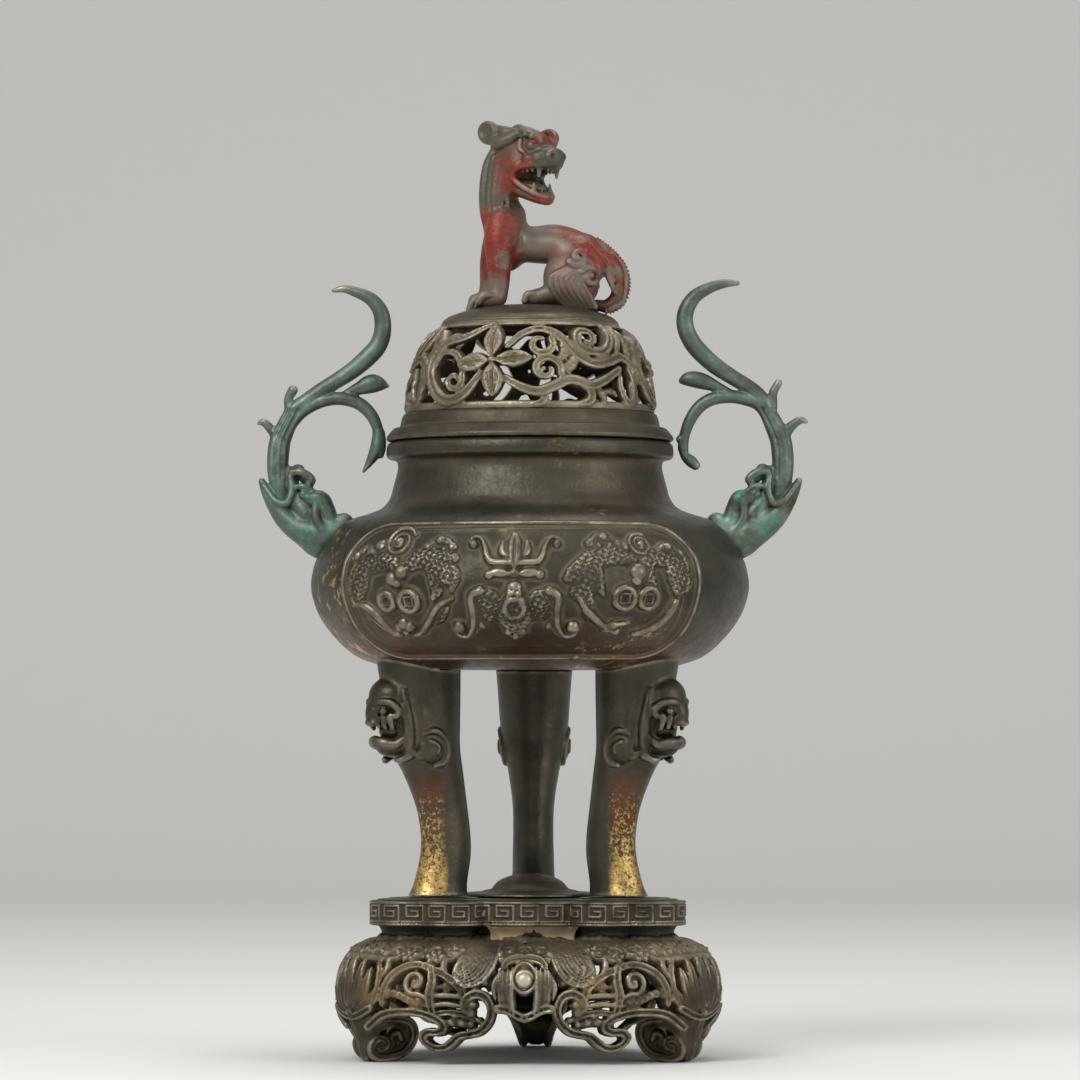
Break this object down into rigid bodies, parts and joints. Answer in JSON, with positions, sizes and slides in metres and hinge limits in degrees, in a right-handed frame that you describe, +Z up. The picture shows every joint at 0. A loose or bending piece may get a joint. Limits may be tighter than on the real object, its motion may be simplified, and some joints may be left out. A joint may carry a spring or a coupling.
{
  "type": "tripod incense burner",
  "caption": "Cast bronze tripod censer with S-shaped dragon handles, a pierced domed lid with a lion finial, and an openwork trefoil stand",
  "frame": {"origin": "on the ground under the middle of the stand", "axes": "+Z up, front of the piece along -Y, the two handles along X"},
  "size_m": [0.1216, 0.0986, 0.2104],
  "materials": {
    "worn_bronze": "worn olive-brown bronze with dust in the recesses and bright edges",
    "dark_bronze": "dark brown patina, polished high spots",
    "verdigris": "green-grey patina with pale worn tips",
    "red_patina": "brown-grey bronze with traces of red lacquer",
    "rivet_brass": "plain dull brass"
  },
  "bodies": {
    "stand": {"stand_plate": "worn_bronze", "stand_boss": "worn_bronze", "stand_waist": "worn_bronze", "apron_left": "worn_bronze", "apron_right": "worn_bronze", "apron_rear": "worn_bronze", "stand_foot_left": "worn_bronze", "stand_foot_right": "worn_bronze", "stand_foot_rear": "worn_bronze", "stand_bracket_front": "worn_bronze", "stand_bracket_right": "worn_bronze", "stand_bracket_left": "worn_bronze"},
    "censer": {"bowl": "dark_bronze", "leg_left": "dark_bronze", "leg_right": "dark_bronze", "leg_rear": "dark_bronze", "leg_rivet_left": "rivet_brass", "leg_rivet_right": "rivet_brass", "leg_rivet_rear": "rivet_brass", "handle_left": "verdigris", "handle_right": "verdigris", "handle_rivet_left": "rivet_brass", "handle_rivet_right": "rivet_brass"},
    "lid": {"lid_ring": "worn_bronze", "lid_gallery": "worn_bronze", "lid_cap": "worn_bronze", "lion": "red_patina", "lion_rivet": "rivet_brass"}
  },
  "joints": [
    {"name": "censer_lift", "type": "slide", "parent": "stand", "child": "censer", "axis": [0, 0, 1], "range_m": [0, 0.03]},
    {"name": "lid_lift", "type": "slide", "parent": "censer", "child": "lid", "axis": [0, 0, 1], "range_m": [0, 0.045]}
  ]
}
